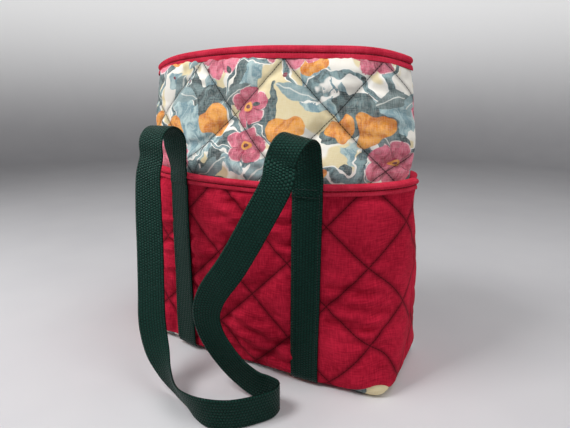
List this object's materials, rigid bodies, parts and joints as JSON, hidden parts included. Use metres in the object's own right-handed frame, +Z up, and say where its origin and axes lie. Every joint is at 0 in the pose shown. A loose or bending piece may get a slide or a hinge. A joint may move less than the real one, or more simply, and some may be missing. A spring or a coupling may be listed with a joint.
{
  "type": "quilted tote bag",
  "caption": "Quilted cotton tote bag with a boxed base, a bound outer pocket on each side and webbing handles that flip up for carrying.",
  "frame": {"origin": "middle of the base, on the floor", "axes": "+Z up, the front panel faces -Y, +X to the right seen from the front"},
  "size_m": [0.284, 0.3002, 0.2872],
  "materials": {
    "print_cotton": "matte",
    "red_cotton": "matte",
    "red_binding": "matte",
    "batting": "matte",
    "lining_cotton": "matte",
    "webbing": "satin"
  },
  "bodies": {
    "bag": {"back_batting": "batting", "back_left_bend": "webbing", "back_left_leg": "webbing", "back_lining": "lining_cotton", "back_outer_fabric": "print_cotton", "back_pocket_batting": "batting", "back_pocket_binding": "red_binding", "back_pocket_lining": "red_cotton", "back_pocket_outer": "red_cotton", "back_right_bend": "webbing", "back_right_leg": "webbing", "base_batting": "batting", "base_lining": "lining_cotton", "base_outer_fabric": "print_cotton", "front_batting": "batting", "front_left_bend": "webbing", "front_left_leg": "webbing", "front_lining": "lining_cotton", "front_outer_fabric": "print_cotton", "front_pocket_batting": "batting", "front_pocket_binding": "red_binding", "front_pocket_lining": "red_cotton", "front_pocket_outer": "red_cotton", "front_right_bend": "webbing", "front_right_leg": "webbing", "mouth_binding": "red_binding"},
    "front_handle": {"front_handle_loop": "webbing"},
    "back_handle": {"back_handle_loop": "webbing"}
  },
  "joints": [
    {"name": "front_handle_swing", "type": "hinge", "parent": "bag", "child": "front_handle", "pos_m": [0, -0.0768, 0.2041], "axis": [-1, 0, 0], "range_deg": [0, 160], "deforming": ["front_left_bend", "front_right_bend"]},
    {"name": "back_handle_swing", "type": "hinge", "parent": "bag", "child": "back_handle", "pos_m": [0, 0.0768, 0.2041], "axis": [1, 0, 0], "range_deg": [0, 160], "deforming": ["back_left_bend", "back_right_bend"]}
  ]
}
